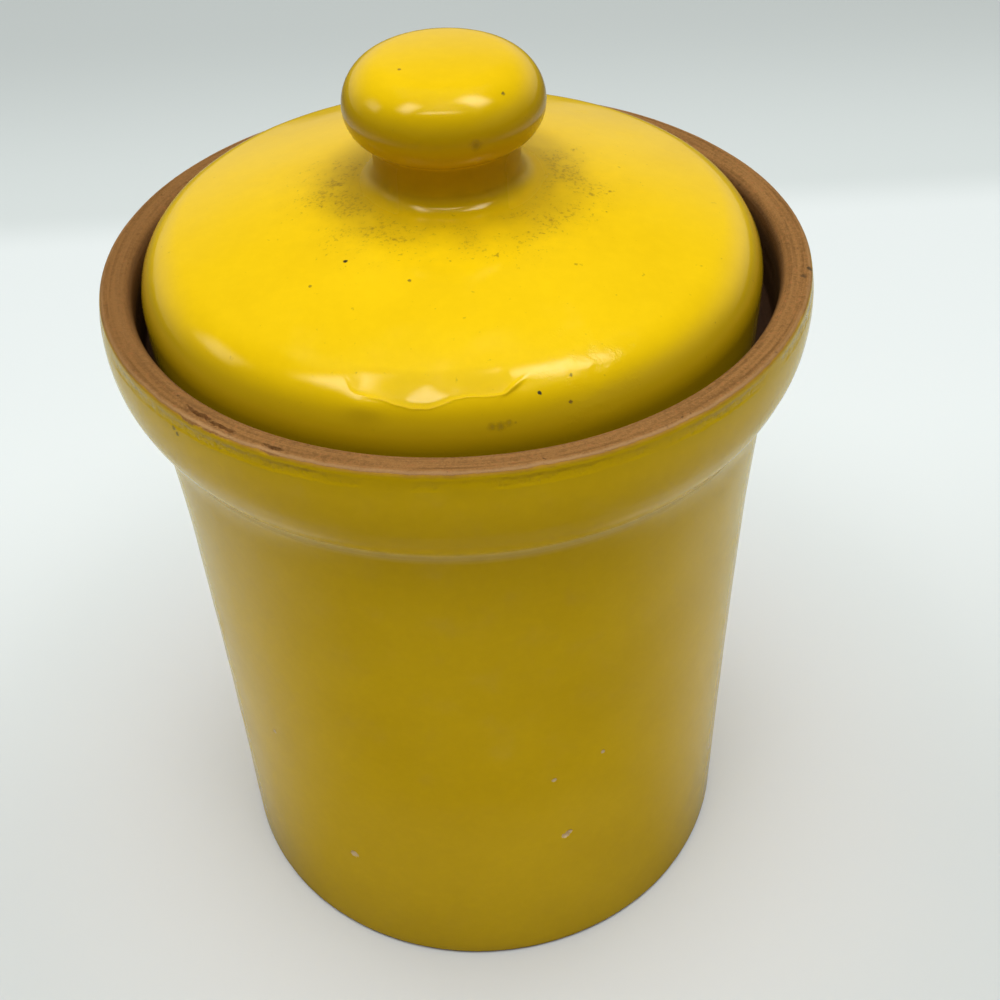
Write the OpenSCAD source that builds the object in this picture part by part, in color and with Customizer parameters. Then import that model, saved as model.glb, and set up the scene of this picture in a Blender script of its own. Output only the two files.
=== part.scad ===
// Round storage canister: a jar with a swollen collar and an inset lid with a mushroom knob
// Millimetres, +Z up, resting face on Z = 0, axis of the canister on the Z axis

/* [Jar] */
// Outside diameter of the straight wall
body_diameter = 136; // [110:0.5:170]
// Height from the resting face to the top of the rim
jar_height = 175.2; // [120:0.2:240]
// Thickness of the straight wall
wall_thickness = 7; // [5.5:0.25:9]
// Thickness of the floor, measured from the resting face
floor_thickness = 9; // [6:0.5:14]
// Radius between the floor and the wall on the inside
floor_radius = 10; // [4:0.5:20]

/* [Foot] */
// Radius on the outer edge of the foot
foot_edge_radius = 1.5; // [0.5:0.25:4]
// Width of the ring that the jar stands on
foot_ring_width = 9; // [6:0.5:16]
// Depth of the hollow inside the foot ring
foot_recess = 2; // [0.5:0.25:4]

/* [Collar] */
// How far the collar stands out from the wall
collar_swell = 7.8; // [7:0.1:11]
// Radius of the arc that the collar swells on
collar_arc = 25; // [20:0.5:32]
// Height of the rim above the widest part of the collar
collar_rise = 7; // [4:0.25:9]
// Radius in the crease between the wall and the collar
crease_radius = 6; // [1:0.25:8]

/* [Rim and gallery] */
// Width of the bare rim
rim_width = 5.7; // [4.5:0.1:7]
// Radius on the outer edge of the rim
rim_outer_radius = 1; // [0.4:0.1:1.8]
// Radius on the inner edge of the rim
rim_inner_radius = 2.6; // [0.4:0.1:3]
// Depth from the rim down to the ledge that the lid sits on
gallery_depth = 15.5; // [10:0.5:18]
// Radius in the corner of the gallery and on the lip of the ledge
ledge_radius = 1.2; // [0.4:0.1:1.6]

/* [Lid] */
// Gap all round between the lid and the gallery
lid_gap = 3; // [1:0.1:3.5]
// Height of the lid's side, from its foot to the start of the shoulder
lid_side = 12.3; // [6:0.1:20]
// Radius of the lid's shoulder
shoulder_radius = 13.2; // [9:0.2:18]
// Radius of the lid's domed crown
crown_radius = 205; // [130:5:280]
// Thickness of the lid
lid_thickness = 6.5; // [5:0.25:8]
// Radius on both edges of the lid's foot
lid_foot_radius = 1.2; // [0.4:0.1:1.6]

/* [Knob] */
// Diameter of the neck under the knob
neck_diameter = 30.2; // [20:0.2:36]
// How far the knob stands out over its neck
knob_overhang = 5.2; // [3:0.1:9]
// Radius of the knob's underside as a share of the overhang
knob_under_share = 1.35; // [1.1:0.05:1.8]
// Radius of the knob's edge above its widest part
knob_upper_radius = 9.5; // [7:0.1:13]
// Radius of the knob's flattened top
knob_top_radius = 110; // [40:2:160]
// Height of the neck between its foot and the knob
neck_height = 4.7; // [2:0.1:12]
// Radius between the neck and the underside of the knob
neck_fillet = 1.2; // [0.4:0.1:2]
// Radius between the boss under the neck and the crown of the lid
boss_fillet = 4; // [2:0.25:6]
// Height of the straight edge on the boss, above its fillet
boss_edge = 0.5; // [0.2:0.1:3]

/* [Hidden] */
$fn = 180;
// How far a cut runs past the face that it opens
past = 5;
// How far a rounding laps over the arc that it runs into, so that no sliver is left between them
lap = 0.004;
glaze_yellow = [0.93, 0.68, 0.05];
knob_yellow = [0.90, 0.63, 0.04];

// Sizes of the jar
body_r = body_diameter / 2;
bore_r = body_r - wall_thickness;
collar_r = body_r + collar_swell;
widest_z = jar_height - collar_rise;
collar_c = [collar_r - collar_arc, widest_z];
rim_r = collar_c.x + sqrt(collar_arc ^ 2 - collar_rise ^ 2);
gallery_r = rim_r - rim_width;
ledge_z = jar_height - gallery_depth;
foot_recess_r = body_r - foot_ring_width;

// Fillet in the crease, tangent to the wall and to the collar
crease_x = body_r + crease_radius;
crease_d = collar_arc + crease_radius - lap;
crease_c = [crease_x, widest_z - sqrt(crease_d ^ 2 - (crease_x - collar_c.x) ^ 2)];

// Rounding between the collar and the rim
rim_edge_z = jar_height - rim_outer_radius;
rim_edge_d = collar_arc - rim_outer_radius + lap;
rim_edge_c = [collar_c.x + sqrt(rim_edge_d ^ 2 - (rim_edge_z - widest_z) ^ 2), rim_edge_z];

// Sizes of the lid, which follow the gallery
lid_r = gallery_r - lid_gap;
shoulder_c = [lid_r - shoulder_radius, ledge_z + lid_side];
shoulder_d = crown_radius - shoulder_radius + lap;
crown_c = [0, shoulder_c.y - sqrt(shoulder_d ^ 2 - shoulder_c.x ^ 2)];
crown_z = crown_c.y + crown_radius;

// Fillet round the boss, tangent to the neck and to the crown
neck_r = neck_diameter / 2;
boss_x = neck_r + boss_fillet;
boss_d = crown_radius + boss_fillet - lap;
boss_c = [boss_x, crown_c.y + sqrt(boss_d ^ 2 - boss_x ^ 2)];
boss_z = boss_c.y + boss_edge;

// Sizes of the knob, which stands on the boss
knob_r = neck_r + knob_overhang;
knob_lower_radius = knob_overhang * knob_under_share;
knob_z = boss_z + neck_height + knob_lower_radius;
knob_lower_c = [knob_r - knob_lower_radius, knob_z];
knob_upper_c = [knob_r - knob_upper_radius, knob_z];
knob_top_d = knob_top_radius - knob_upper_radius + lap;
knob_top_c = [0, knob_z - sqrt(knob_top_d ^ 2 - knob_upper_c.x ^ 2)];

// Fillet under the knob, tangent to the neck and to the knob's underside
under_x = neck_r + neck_fillet;
under_d = knob_lower_radius + neck_fillet - lap;
under_c = [under_x, knob_z - sqrt(under_d ^ 2 - (under_x - knob_lower_c.x) ^ 2)];

// Unit vector at an angle
function toward(a) = [cos(a), sin(a)];

// Angle from one point to another, between 0 and 360
function bearing(from, to) = (atan2(to.y - from.y, to.x - from.x) + 360) % 360;

// Half of a rectangle that stands on the axis
module block(radius, bottom, top)
    translate([0, bottom])
        square([radius, top - bottom]);

// The part of a wedge that lies beyond a radius about its point:
// cut it away to round an edge, or add it to fill a corner
module beyond(centre, radius, from, to, reach = 1.4) {
    spread = (to - from) / 2;
    translate(centre)
        difference() {
            polygon(reach * radius * [
                [0, 0],
                toward(from),
                toward(from + spread) / cos(spread),
                toward(to)
            ]);
            circle(radius);
        }
}

// Half of a block under a circle about a point on the axis, with a rounded shoulder
module domed_block(radius, bottom, top_c, top_radius, edge_c, edge_radius)
    difference() {
        intersection() {
            block(radius, bottom, top_c.y + top_radius + past);
            translate(top_c)
                circle(top_radius);
        }
        beyond(edge_c, edge_radius, 0, bearing(top_c, edge_c));
    }

// Outside of the jar: the straight wall, the collar on its arc, and the fillet in the crease
module jar_outside() {
    block(body_r, 0, widest_z);
    intersection() {
        translate(collar_c)
            circle(collar_arc);
        block(collar_r + past, 0, jar_height);
    }
    beyond(crease_c, crease_radius, bearing(crease_c, collar_c), 180);
}

// Inside of the jar: room for the contents, and above it the gallery that the lid drops into
module jar_inside() {
    difference() {
        block(bore_r, floor_thickness, jar_height);
        beyond([bore_r - floor_radius, floor_thickness + floor_radius], floor_radius, -90, 0);
    }
    difference() {
        block(gallery_r, ledge_z, jar_height + past);
        beyond([gallery_r - ledge_radius, ledge_z + ledge_radius], ledge_radius, -90, 0);
    }
    beyond([bore_r + ledge_radius, ledge_z - ledge_radius], ledge_radius, 90, 180);
}

// Rounded edges of the jar: both edges of the rim, and the foot
module jar_edges() {
    beyond(rim_edge_c, rim_outer_radius, bearing(collar_c, rim_edge_c), 90);
    beyond([gallery_r + rim_inner_radius, jar_height - rim_inner_radius], rim_inner_radius, 90, 180);
    beyond([body_r - foot_edge_radius, foot_edge_radius], foot_edge_radius, -90, 0);
}

// Jar with the gallery inside its collar, standing on a foot ring
module jar()
    color(glaze_yellow)
        rotate_extrude()
            difference() {
                jar_outside();
                jar_inside();
                jar_edges();
                block(foot_recess_r, -past, foot_recess);
            }

// Rounded edges of the lid's foot
module lid_edges() {
    edge_z = ledge_z + lid_foot_radius;
    beyond([lid_r - lid_foot_radius, edge_z], lid_foot_radius, -90, 0);
    beyond([lid_r - lid_thickness + lid_foot_radius, edge_z], lid_foot_radius, 180, 270);
}

// Hollow domed lid that stands on the ledge of the gallery, with a boss for the knob on its crown
module lid()
    color(glaze_yellow)
        rotate_extrude()
            difference() {
                union() {
                    domed_block(lid_r, ledge_z, crown_c, crown_radius, shoulder_c, shoulder_radius);
                    block(neck_r, shoulder_c.y, boss_z);
                    beyond(boss_c, boss_fillet, 180, bearing(boss_c, crown_c));
                }
                domed_block(
                    lid_r - lid_thickness, ledge_z - past,
                    crown_c, crown_radius - lid_thickness,
                    shoulder_c, shoulder_radius - lid_thickness
                );
                lid_edges();
            }

// Mushroom knob with a flattened top, on a neck that is luted to the boss of the lid
module lid_knob()
    color(knob_yellow)
        rotate_extrude() {
            block(neck_r, boss_z, knob_z);
            difference() {
                block(knob_r, knob_z - knob_lower_radius, knob_z);
                beyond(knob_lower_c, knob_lower_radius, -90, 0);
            }
            domed_block(knob_r, knob_z, knob_top_c, knob_top_radius, knob_upper_c, knob_upper_radius);
            beyond(under_c, neck_fillet, bearing(under_c, knob_lower_c), 180);
        }

jar();
lid();
lid_knob();
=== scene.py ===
import logging
import math
from dataclasses import dataclass, field
from enum import Enum
from functools import reduce
from typing import Callable, Sequence

import bmesh
import bpy
from mathutils import Matrix, Vector, noise


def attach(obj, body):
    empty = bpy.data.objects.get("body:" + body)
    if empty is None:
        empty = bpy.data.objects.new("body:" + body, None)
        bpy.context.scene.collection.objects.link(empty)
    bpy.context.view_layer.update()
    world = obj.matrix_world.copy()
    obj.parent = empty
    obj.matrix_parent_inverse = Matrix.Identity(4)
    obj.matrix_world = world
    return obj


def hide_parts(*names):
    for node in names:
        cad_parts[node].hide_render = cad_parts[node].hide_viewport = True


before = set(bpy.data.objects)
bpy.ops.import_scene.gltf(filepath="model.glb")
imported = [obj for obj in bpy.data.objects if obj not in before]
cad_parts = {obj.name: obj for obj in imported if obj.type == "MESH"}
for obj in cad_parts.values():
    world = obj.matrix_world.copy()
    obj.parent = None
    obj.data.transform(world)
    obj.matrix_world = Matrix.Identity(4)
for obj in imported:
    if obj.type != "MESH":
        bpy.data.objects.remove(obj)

MM = 0.001
Point = tuple[float, float]
Span = tuple[float, float]
Place = tuple[float, float, float]
Colour = tuple[float, float, float]
Socket = bpy.types.NodeSocket
log = logging.getLogger("canister")


# Shaping tools

def smooth(low: float, high: float, value: float) -> float:
    """Eases from 0 at low to 1 at high."""
    t = min(max((value - low) / (high - low), 0.0), 1.0)
    return t * t * (3.0 - 2.0 * t)


def bulge(value: float, centre: float, width: float) -> float:
    """A smooth bump that is 1 at its centre and fades over a width."""
    return math.exp(-((value - centre) / width) ** 2)


def ripple(co: Vector, waves: Sequence[Point]) -> float:
    """Sum of smooth waves at a place, each of a height and a rate."""
    return sum(height * noise.noise(co * rate) for height, rate in waves)


def along(table: Sequence[Point], at: float) -> float:
    """Reads a table of points by straight lines between them.

    Args:
        table: Points in rising order of their first number.
        at: First number to read at.

    Returns:
        The second number there, held level beyond the ends.
    """
    for (a, low), (b, high) in zip(table, table[1:]):
        if at <= b:
            return low + (high - low) * min(max((at - a) / (b - a), 0.0), 1.0)
    return table[-1][1]


def toward(centre: Point, through: Point, distance: float) -> Point:
    """Point at a distance from a centre, in the direction of another point.

    Args:
        centre: Point to start from.
        through: Point that gives the direction.
        distance: How far to go.

    Returns:
        The point reached.
    """
    dx, dz = through[0] - centre[0], through[1] - centre[1]
    share = distance / math.hypot(dx, dz)
    return centre[0] + dx * share, centre[1] + dz * share


def on_wall(radius: float, azimuth: float, height: float) -> Vector:
    """Place on a turned surface, in millimetres."""
    turn = math.radians(azimuth)
    return Vector((radius * math.cos(turn), radius * math.sin(turn), height))


class Pen:
    """Draws the half-section of a turned piece in the XZ plane, in millimetres."""

    def __init__(self, bm: bmesh.types.BMesh, start: Point) -> None:
        """Puts the pen down."""
        self.bm = bm
        self.tip = bm.verts.new(self.place(start))

    @staticmethod
    def place(point: Point) -> Vector:
        """A half-section point as a place in metres."""
        return Vector((point[0], 0.0, point[1])) * MM

    def line(self, end: Point, steps: int) -> None:
        """Draws a straight stretch.

        Args:
            end: Point to draw to.
            steps: Number of equal edges.
        """
        step = (self.place(end) - self.tip.co) / steps
        for _ in range(steps):
            self.tip = bmesh.ops.extrude_vert_indiv(self.bm, verts=[self.tip])["verts"][0]
            self.tip.co += step

    def arc(self, centre: Point, end: Point, steps: int) -> None:
        """Draws a round stretch, the short way about a centre.

        Args:
            centre: Centre of the arc.
            end: Point that gives the direction in which the arc ends.
            steps: Number of equal edges.
        """
        hub = self.place(centre)
        first, last = self.tip.co - hub, self.place(end) - hub
        sweep = math.atan2(first.x * last.z - first.z * last.x, first.dot(last))
        made = bmesh.ops.spin(
            self.bm, geom=[self.tip], cent=hub, axis=(0.0, -1.0, 0.0), dvec=(0.0, 0.0, 0.0),
            angle=sweep, steps=steps, use_merge=False, use_duplicate=False,
        )
        self.tip = next(g for g in made["geom_last"] if isinstance(g, bmesh.types.BMVert))


def turn_about_axis(bm: bmesh.types.BMesh, steps: int) -> None:
    """Turns a drawn half-section a full circle about Z and closes it.

    Args:
        bm: Mesh that holds the half-section and receives the surface.
        steps: Number of steps in the circle.
    """
    bmesh.ops.spin(
        bm, geom=bm.verts[:] + bm.edges[:], cent=(0.0, 0.0, 0.0), axis=(0.0, 0.0, 1.0),
        dvec=(0.0, 0.0, 0.0), angle=math.tau, steps=steps, use_merge=True, use_duplicate=False,
    )
    bmesh.ops.remove_doubles(bm, verts=bm.verts[:], dist=1e-6)
    bmesh.ops.recalc_face_normals(bm, faces=bm.faces[:])
    bm.normal_update()


def refine(bm: bmesh.types.BMesh, inside: Callable[[Vector], bool], cuts: int) -> None:
    """Cuts the mesh finer in one place.

    Args:
        bm: Mesh to refine.
        inside: Says whether a place in millimetres lies in the finer patch.
        cuts: New points on each edge there.
    """
    chosen = {v for v in bm.verts if inside(v.co / MM)}
    edges = [e for e in bm.edges if e.verts[0] in chosen and e.verts[1] in chosen]
    bmesh.ops.subdivide_edges(bm, edges=edges, cuts=cuts, use_grid_fill=True)
    bm.normal_update()


# Shader tools

class Graph:
    """A node tree, with short ways to add nodes to it."""

    def __init__(self, tree: bpy.types.NodeTree) -> None:
        """Takes the tree to add to."""
        self.tree = tree

    def node(self, kind: str, **settings: object) -> bpy.types.Node:
        """Adds a node.

        Args:
            kind: Blender's name of the node type.
            settings: Properties to set on the node.

        Returns:
            The node.
        """
        made = self.tree.nodes.new(kind)
        for name, value in settings.items():
            setattr(made, name, value)
        return made

    def feed(self, socket: Socket, value: object) -> None:
        """Links a socket to another, or sets its value.

        Args:
            socket: Input to feed.
            value: Output socket, number, vector or colour.
        """
        if isinstance(value, Socket):
            self.tree.links.new(value, socket)
        elif isinstance(value, (int, float)):
            socket.default_value = value
        else:
            size = len(socket.default_value)
            socket.default_value = (*value, 1.0)[:size]

    def math(self, how: str, a: object, b: object = 0.0, clamp: bool = False) -> Socket:
        """Adds a Math node.

        Args:
            how: Operation.
            a: First number or socket.
            b: Second number or socket.
            clamp: Whether to hold the result between 0 and 1.

        Returns:
            The result's socket.
        """
        made = self.node("ShaderNodeMath", operation=how, use_clamp=clamp)
        self.feed(made.inputs[0], a)
        self.feed(made.inputs[1], b)
        return made.outputs[0]

    def plus(self, *values: object) -> Socket:
        """Sum of numbers."""
        return reduce(lambda made, one: self.math("ADD", made, one), values)

    def minus(self, a: object, b: object) -> Socket:
        """Difference of two numbers."""
        return self.math("SUBTRACT", a, b)

    def times(self, *values: object) -> Socket:
        """Product of numbers: of masks, where all of them hold."""
        return reduce(lambda made, one: self.math("MULTIPLY", made, one), values)

    def most(self, *values: object) -> Socket:
        """Largest of numbers: of masks, where any of them holds."""
        return reduce(lambda made, one: self.math("MAXIMUM", made, one), values)

    def apart(self, a: object, b: object) -> Socket:
        """How far two numbers lie apart."""
        return self.math("ABSOLUTE", self.minus(a, b))

    def vector(self, how: str, a: object, b: object = (0.0, 0.0, 0.0)) -> Socket:
        """Adds a Vector Math node of two vectors.

        Args:
            how: Operation.
            a: First vector or socket.
            b: Second vector or socket.

        Returns:
            The result's socket: a number for LENGTH and DISTANCE, else a vector.
        """
        made = self.node("ShaderNodeVectorMath", operation=how)
        self.feed(made.inputs[0], a)
        self.feed(made.inputs[1], b)
        return made.outputs["Value" if how in ("LENGTH", "DISTANCE") else "Vector"]

    def ease(self, value: object, low: float, high: float, start: float = 0.0, end: float = 1.0) -> Socket:
        """Adds a smooth Map Range node.

        Args:
            value: Number or socket to map.
            low: Value that gives start.
            high: Value that gives end.
            start: Result at low.
            end: Result at high.

        Returns:
            The result's socket.
        """
        made = self.node("ShaderNodeMapRange", interpolation_type="SMOOTHSTEP")
        for name, number in (("From Min", low), ("From Max", high), ("To Min", start), ("To Max", end)):
            made.inputs[name].default_value = number
        self.feed(made.inputs["Value"], value)
        return made.outputs["Result"]

    def fade(self, value: object, low: float, high: float, start: float = 1.0) -> Socket:
        """Eases down from start at low to 0 at high."""
        return self.ease(value, low, high, start, 0.0)

    def between(self, value: object, rise: Span, fall: Span) -> Socket:
        """Mask of a stretch of values, which sets in over one span and ends over another."""
        return self.times(self.ease(value, *rise), self.fade(value, *fall))

    def mix(self, share: object, a: object, b: object) -> Socket:
        """Mixes two colours.

        Args:
            share: Share of the second colour.
            a: First colour or socket.
            b: Second colour or socket.

        Returns:
            The mixed colour's socket.
        """
        made = self.node("ShaderNodeMix", data_type="RGBA")
        self.feed(made.inputs[0], share)
        self.feed(made.inputs[6], a)
        self.feed(made.inputs[7], b)
        return made.outputs[2]

    def noise(self, where: Socket, scale: float, detail: float = 2.0, roughness: float = 0.5) -> Socket:
        """Adds a Noise node.

        Args:
            where: Place to read the noise at, in millimetres.
            scale: Waves per millimetre.
            detail: Number of finer layers.
            roughness: Strength of each finer layer.

        Returns:
            The noise as a number about 0.5.
        """
        made = self.node("ShaderNodeTexNoise")
        self.feed(made.inputs["Vector"], where)
        made.inputs["Scale"].default_value = scale
        made.inputs["Detail"].default_value = detail
        made.inputs["Roughness"].default_value = roughness
        return made.outputs["Fac"]

    def wander(
        self, where: Socket, scale: float, reach: float, detail: float = 2.0, roughness: float = 0.5,
    ) -> Socket:
        """Noise about 0, from half its reach below to half its reach above."""
        return self.times(self.minus(self.noise(where, scale, detail, roughness), 0.5), reach)

    def use(self, group: bpy.types.NodeTree, **inputs: object) -> bpy.types.Node:
        """Places a node group.

        Args:
            group: Group to place.
            inputs: Values or sockets by input name.

        Returns:
            The group's node.
        """
        made = self.node("ShaderNodeGroup", node_tree=group)
        for name, value in inputs.items():
            self.feed(made.inputs[name.replace("_", " ")], value)
        return made


class Kind(Enum):
    """Types of a node group's sockets."""

    NUMBER = "NodeSocketFloat"
    VECTOR = "NodeSocketVector"
    COLOUR = "NodeSocketColor"


class Effect:
    """A shader node group with named inputs and outputs."""

    def __init__(self, name: str, inputs: dict[str, Kind], outputs: dict[str, Kind]) -> None:
        """Makes the empty group.

        Args:
            name: Name of the group.
            inputs: Input names and kinds.
            outputs: Output names and kinds.
        """
        self.tree = bpy.data.node_groups.new(name, "ShaderNodeTree")
        for label, kind in inputs.items():
            self.tree.interface.new_socket(label, in_out="INPUT", socket_type=kind.value)
        for label, kind in outputs.items():
            self.tree.interface.new_socket(label, in_out="OUTPUT", socket_type=kind.value)
        self.graph = Graph(self.tree)
        self.entry = self.graph.node("NodeGroupInput").outputs
        self.exit = self.graph.node("NodeGroupOutput").inputs


# Finishes

@dataclass(frozen=True)
class GlazeFinish:
    """Glossy yellow glaze. Scales in waves per millimetre, heights in millimetres."""

    thick: Colour = (0.83, 0.540, 0.003)
    thin: Colour = (0.90, 0.595, 0.004)
    thinnest: Colour = (0.40, 0.190, 0.035)
    # A deeper tone that paints shade on the top of the collar, the lid's side and the knob's side
    painted_shade: Colour = (0.55, 0.355, 0.002)
    gloss: float = 0.11
    dulled: float = 0.26
    ior: float = 1.5
    reflection: Colour = (1.0, 0.93, 0.75)
    pool_scale: float = 0.035
    mottle_scale: float = 0.45
    smear_scale: float = 0.12
    wave_scale: float = 0.11
    wave_height: float = 0.08
    peel_scale: float = 0.9
    peel_height: float = 0.006


@dataclass(frozen=True)
class ClayFinish:
    """Bare fired red clay. Scales in waves per millimetre, heights in millimetres."""

    light: Colour = (0.295, 0.142, 0.041)
    dark: Colour = (0.168, 0.076, 0.020)
    red: Colour = (0.330, 0.105, 0.036)
    worn: Colour = (0.430, 0.245, 0.100)
    # Dark colour of the pits, also used for painted shade down the gallery
    pit_and_gallery_shade: Colour = (0.030, 0.014, 0.010)
    broken: Colour = (0.850, 0.640, 0.360)
    roughness: float = 0.88
    line_scale: float = 1.6
    line_height: float = 0.10
    cloud_scale: float = 1.1
    grain_scale: float = 2.8
    grain_height: float = 0.14
    pit_scale: float = 0.75
    pit_depth: float = 0.20


class Tone(Enum):
    """Colours of marks on the surface, which also serve for painted shade and a painted highlight."""

    SOOT = (0.030, 0.020, 0.008)
    STAIN_AND_SHADE = (0.200, 0.110, 0.008)
    DUST_AND_SHADOW = (0.215, 0.130, 0.010)
    PAINTED_HIGHLIGHT = (0.860, 0.700, 0.320)


@dataclass(frozen=True)
class Mark:
    """A small mark on the surface. Place and radius in millimetres."""

    place: Vector
    radius: float
    tone: Tone
    strength: float = 1.0
    blur: float = 0.35


@dataclass(frozen=True)
class Chip:
    """A place where the glaze has broken away to the clay. Sizes in millimetres."""

    place: Vector
    radius: float
    depth: float
    edge: Span = (0.85, 1.1)
    waves: tuple[Point, ...] = ((0.5, 1.7),)
    cuts: int = 7

    def near(self, co: Vector) -> bool:
        """Whether a place lies in the chip or close round it."""
        return (co - self.place).length < self.radius * 1.6 + 2.2

    def sunk(self, co: Vector) -> float:
        """How deep the chip is at a place. It is deeper toward its top, and its edge is ragged.

        Args:
            co: Place in millimetres.

        Returns:
            The depth, in millimetres.
        """
        way = (co - self.place) / self.radius
        ragged = way.length + ripple(co, self.waves)
        slope = min(max(0.55 + 0.45 * way.z, 0.0), 1.0)
        return self.depth * slope * (1.0 - smooth(*self.edge, ragged))


@dataclass(frozen=True)
class RimBreak:
    """A stretch where the rim's outer edge has flaked away: two azimuths in degrees, then millimetres."""

    first: float
    last: float
    inner: float
    depth: float


class Effects:
    """The shared effects, each built once."""

    def __init__(self, glaze: GlazeFinish, clay: ClayFinish) -> None:
        """Builds the groups.

        Args:
            glaze: Finish of the glaze.
            clay: Finish of the bare clay.
        """
        self.glaze, self.clay = glaze, clay
        self.tone = self.glaze_tone()
        self.body = self.clay_body()
        self.spot = self.ragged_spot()
        self.dust = self.dust_cloud()

    def glaze_tone(self) -> bpy.types.NodeTree:
        """Colour, gloss and waviness of the glaze, from where it is thick or thin.

        Returns:
            The group.
        """
        made = Effect(
            "glaze_tone", {"Place": Kind.VECTOR},
            {"Colour": Kind.COLOUR, "Gloss": Kind.NUMBER, "Height": Kind.NUMBER},
        )
        g, place, glaze = made.graph, made.entry["Place"], self.glaze
        pools = g.ease(g.noise(place, glaze.pool_scale, 3.0), 0.3, 0.7)
        mottle = g.ease(g.noise(place, glaze.mottle_scale, 3.0, 0.6), 0.35, 0.75)
        share = g.plus(g.times(pools, 0.7), g.times(mottle, 0.3))
        g.feed(made.exit["Colour"], g.mix(share, glaze.thick, glaze.thin))
        smear = g.ease(g.noise(place, glaze.smear_scale, 4.0, 0.65), 0.45, 0.8)
        g.feed(made.exit["Gloss"], g.ease(smear, 0.0, 1.0, glaze.gloss, glaze.dulled))
        waves = g.times(g.noise(place, glaze.wave_scale), glaze.wave_height)
        peel = g.times(g.noise(place, glaze.peel_scale), glaze.peel_height)
        g.feed(made.exit["Height"], g.plus(waves, peel))
        return made.tree

    def clay_body(self) -> bpy.types.NodeTree:
        """Colour and grain of bare clay, with turning lines about the axis.

        Returns:
            The group.
        """
        made = Effect(
            "clay_body", {"Place": Kind.VECTOR, "Radius": Kind.NUMBER},
            {"Colour": Kind.COLOUR, "Height": Kind.NUMBER},
        )
        g, place, clay = made.graph, made.entry["Place"], self.clay
        flat = g.vector("MULTIPLY", place, (0.03, 0.03, 0.4))
        lift = g.node("ShaderNodeCombineXYZ")
        g.feed(lift.inputs["Z"], g.times(made.entry["Radius"], clay.line_scale))
        lines = g.noise(g.vector("ADD", flat, lift.outputs["Vector"]), 1.0, 3.0, 0.6)
        cloud = g.noise(place, clay.cloud_scale, 4.0, 0.75)
        grain = g.noise(place, clay.grain_scale, 2.0, 0.8)
        share = g.plus(g.times(cloud, 0.5), g.times(lines, 0.5))
        tone = g.mix(g.ease(share, 0.36, 0.58), clay.dark, clay.light)
        tone = g.mix(g.ease(g.noise(place, clay.cloud_scale, 1.0), 0.62, 0.74, 0.0, 0.4), tone, clay.red)
        tone = g.mix(g.ease(grain, 0.54, 0.70, 0.0, 0.6), tone, clay.dark)
        tone = g.mix(g.fade(grain, 0.30, 0.44, 0.35), tone, clay.worn)
        pits = g.ease(g.noise(place, clay.pit_scale, 3.0, 0.7), 0.68, 0.73)
        g.feed(made.exit["Colour"], g.mix(g.times(pits, 0.6), tone, clay.pit_and_gallery_shade))
        rough = g.plus(g.times(grain, clay.grain_height), g.times(lines, clay.line_height))
        # The grain and the lines stand at about half their heights, which this takes off
        level = g.minus(rough, (clay.grain_height + clay.line_height) / 2.0)
        g.feed(made.exit["Height"], g.minus(level, g.times(pits, clay.pit_depth)))
        return made.tree

    def ragged_spot(self) -> bpy.types.NodeTree:
        """Mask of one small spot with a ragged edge.

        Returns:
            The group.
        """
        made = Effect(
            "ragged_spot",
            {"Place": Kind.VECTOR, "Centre": Kind.VECTOR, "Radius": Kind.NUMBER, "Blur": Kind.NUMBER},
            {"Mask": Kind.NUMBER},
        )
        g, place = made.graph, made.entry["Place"]
        away = g.vector("DISTANCE", place, made.entry["Centre"])
        wander = g.wander(place, 2.2, 1.2, 2.0, 0.6)
        share = g.plus(g.math("DIVIDE", away, made.entry["Radius"]), wander)
        g.feed(made.exit["Mask"], g.math("DIVIDE", g.minus(1.15, share), made.entry["Blur"], clamp=True))
        return made.tree

    def dust_cloud(self) -> bpy.types.NodeTree:
        """Mask of fine dirt caught in the glaze: clouds broken into specks.

        Returns:
            The group.
        """
        made = Effect(
            "dust_cloud", {"Place": Kind.VECTOR, "Amount": Kind.NUMBER}, {"Mask": Kind.NUMBER},
        )
        g, place = made.graph, made.entry["Place"]
        cloud = g.ease(g.noise(place, 0.11, 4.0, 0.65), 0.30, 0.60)
        amount = g.times(cloud, made.entry["Amount"])
        mask = g.times(amount, 0.15)
        for scale, reach, low, strength in ((1.3, 0.26, 0.68, 0.52), (0.55, 0.20, 0.70, 0.62)):
            specks = g.plus(g.noise(place, scale, 3.0, 0.65), g.times(amount, reach))
            mask = g.most(mask, g.ease(specks, low, low + 0.20, 0.0, strength))
        g.feed(made.exit["Mask"], mask)
        return made.tree


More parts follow.
